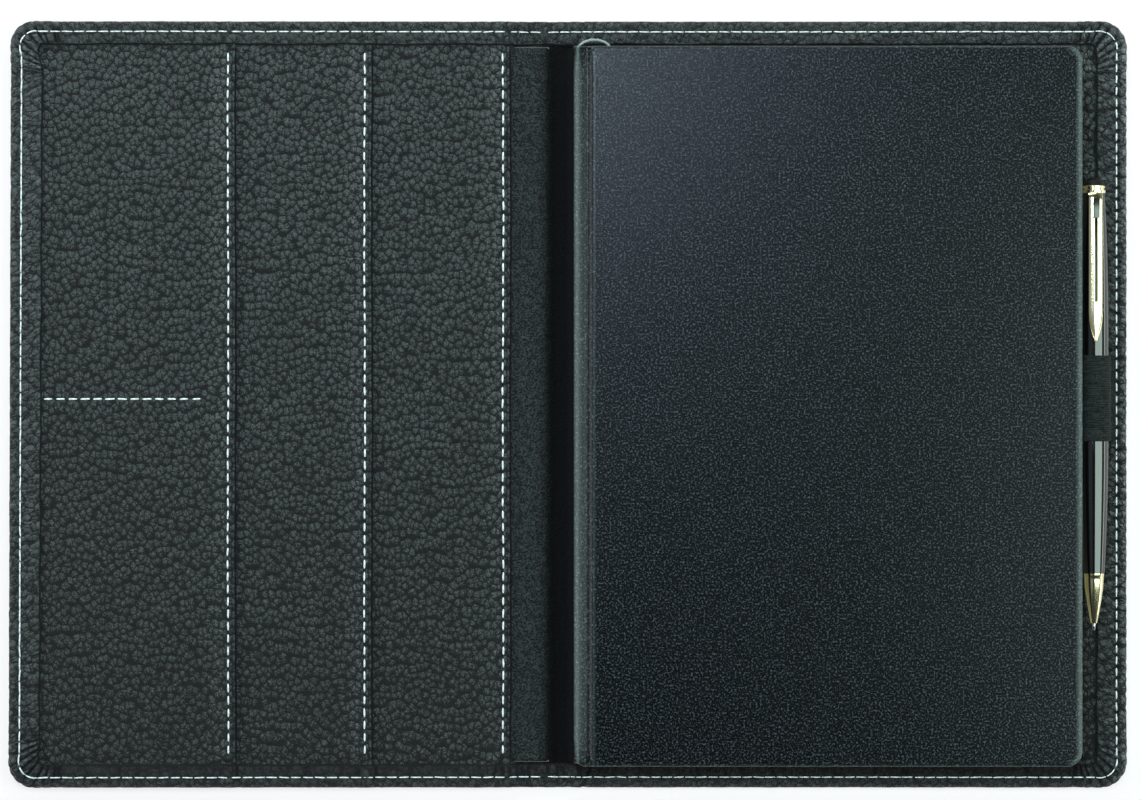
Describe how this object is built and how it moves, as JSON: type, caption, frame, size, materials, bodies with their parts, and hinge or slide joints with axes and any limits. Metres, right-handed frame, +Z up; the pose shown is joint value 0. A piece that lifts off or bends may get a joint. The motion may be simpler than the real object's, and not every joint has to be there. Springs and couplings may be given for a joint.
{
  "type": "leather portfolio folio",
  "caption": "Open black leather folio: stacked pockets on the left cover, a hardback notebook in a pocket on the right, and a twist pen in an elastic loop.",
  "frame": {"origin": "middle of the open folio's footprint, on the table", "axes": "+X across the spread from the pocket side to the pen side, +Y from tail to head, +Z up"},
  "size_m": [0.335, 0.2294, 0.0167],
  "materials": {
    "outer_leather": "pebbled, low sheen",
    "pocket_leather": "pebbled, low sheen",
    "lining": "smooth, satin",
    "greyboard": "matte",
    "white_thread": "matte",
    "elastic": "ribbed, matte",
    "notebook_cloth": "fine grain, satin",
    "paper": "matte",
    "ribbon": "satin",
    "black_lacquer": "gloss",
    "gilt_metal": "polished",
    "inner_brass": "satin",
    "steel": "bright"
  },
  "bodies": {
    "right_cover": {"right_cover_leather": "outer_leather", "right_cover_stiffener": "greyboard", "right_cover_lining": "lining", "notebook_pocket": "pocket_leather", "right_hem_thread": "white_thread", "pen_loop": "elastic"},
    "spine": {"spine_leather": "outer_leather", "spine_stiffener": "greyboard", "spine_lining": "lining", "spine_hem_thread": "white_thread"},
    "left_cover": {"left_cover_leather": "outer_leather", "left_cover_stiffener": "greyboard", "left_cover_lining": "lining", "document_pocket": "pocket_leather", "middle_pocket": "pocket_leather", "card_pocket": "pocket_leather", "left_hem_thread": "white_thread", "document_pocket_thread": "white_thread", "middle_pocket_thread": "white_thread", "card_pocket_thread": "white_thread", "card_divider_thread": "white_thread"},
    "notebook": {"notebook_back_board": "greyboard", "notebook_back_cloth": "notebook_cloth", "notebook_back_endpaper": "paper", "notebook_spine_strip": "greyboard", "notebook_spine_cloth": "notebook_cloth", "page_block": "paper", "head_band": "ribbon", "tail_band": "ribbon", "ribbon_marker": "ribbon"},
    "notebook_front_cover": {"notebook_front_board": "greyboard", "notebook_front_cloth": "notebook_cloth", "notebook_front_endpaper": "paper"},
    "pen": {"pen_upper_barrel": "black_lacquer", "pen_clip_ring": "gilt_metal", "pen_end_cap": "black_lacquer", "pen_centre_band": "gilt_metal", "pen_twist_mechanism": "inner_brass"},
    "pen_clip": {"pen_clip": "gilt_metal"},
    "pen_lower_half": {"pen_lower_barrel": "black_lacquer", "pen_nose_cone": "gilt_metal"},
    "refill": {"refill_tube": "inner_brass", "refill_tip": "steel"}
  },
  "joints": [
    {"name": "right_fold", "type": "hinge", "parent": "right_cover", "child": "spine", "pos_m": [0.0019, 0, 0.0027], "axis": [0, 1, 0], "range_deg": [0, 90]},
    {"name": "left_fold", "type": "hinge", "parent": "spine", "child": "left_cover", "pos_m": [-0.0166, 0, 0.0027], "axis": [0, 1, 0], "range_deg": [0, 90]},
    {"name": "notebook_slide", "type": "slide", "parent": "right_cover", "child": "notebook", "axis": [1, 0, 0], "range_m": [-0.017, 0]},
    {"name": "notebook_opening", "type": "hinge", "parent": "notebook", "child": "notebook_front_cover", "pos_m": [0.0046, 0, 0.0164], "axis": [0, 1, 0], "range_deg": [-180, 0]},
    {"name": "pen_slide", "type": "slide", "parent": "right_cover", "child": "pen", "axis": [0, 1, 0], "range_m": [0, 0.105]},
    {"name": "pen_twist", "type": "hinge", "parent": "pen", "child": "pen_lower_half", "pos_m": [0.15685, 0.00185, 0.00995], "axis": [0, 1, 0], "range_deg": [0, 180]},
    {"name": "refill_travel", "type": "slide", "parent": "pen_lower_half", "child": "refill", "axis": [0, 1, 0], "range_m": [0, 0.004]},
    {"name": "clip_flex", "type": "hinge", "parent": "pen", "child": "pen_clip", "pos_m": [0.1574, 0.06405, 0.01517], "axis": [-0.9945, 0, 0.1045], "range_deg": [0, 5], "stiffness_Nm_per_rad": 0.6}
  ],
  "couplings": [
    {"joint": "refill_travel", "follows": "pen_twist", "m_per_rad": 0.001273}
  ]
}
